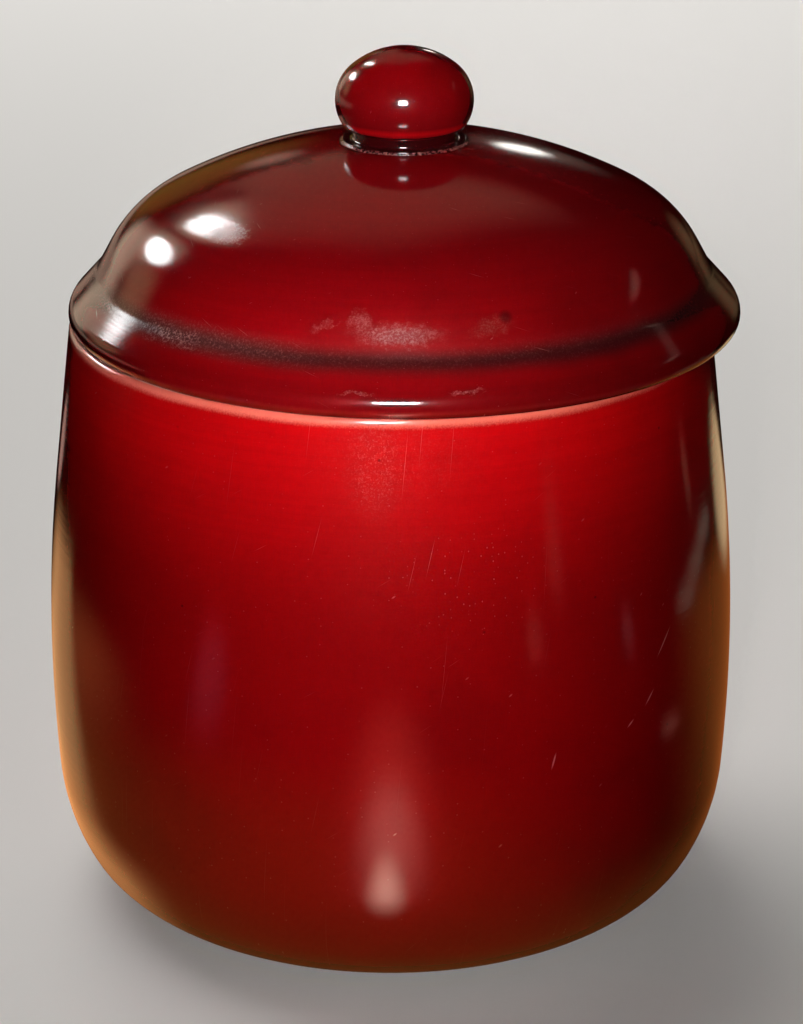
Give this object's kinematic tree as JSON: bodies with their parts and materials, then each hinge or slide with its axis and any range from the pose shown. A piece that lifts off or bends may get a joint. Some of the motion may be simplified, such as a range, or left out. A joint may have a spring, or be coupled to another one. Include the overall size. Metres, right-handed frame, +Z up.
{
  "type": "rumtopf pot",
  "caption": "Lidded stoneware jar with a red glaze: bellied pot on a foot ring, domed lid with a flared rim and a round knob.",
  "frame": {"origin": "on the pot's axis, in the plane that the foot ring stands on, which is the middle of the base of the whole object's box", "axes": "+Z up along the pot's axis; the picture looks along +Y; the lid lies 4.15 mm off centre towards +X"},
  "size_m": [0.21, 0.21, 0.2647],
  "materials": {
    "pot_glaze": "gloss",
    "lid_glaze": "gloss"
  },
  "bodies": {
    "pot": {"pot": "pot_glaze"},
    "lid": {"lid": "lid_glaze", "lid_knob": "lid_glaze"}
  },
  "joints": [
    {"name": "lid_lift", "type": "slide", "parent": "pot", "child": "lid", "axis": [0, 0, 1], "range_m": [0, 0.15]}
  ]
}
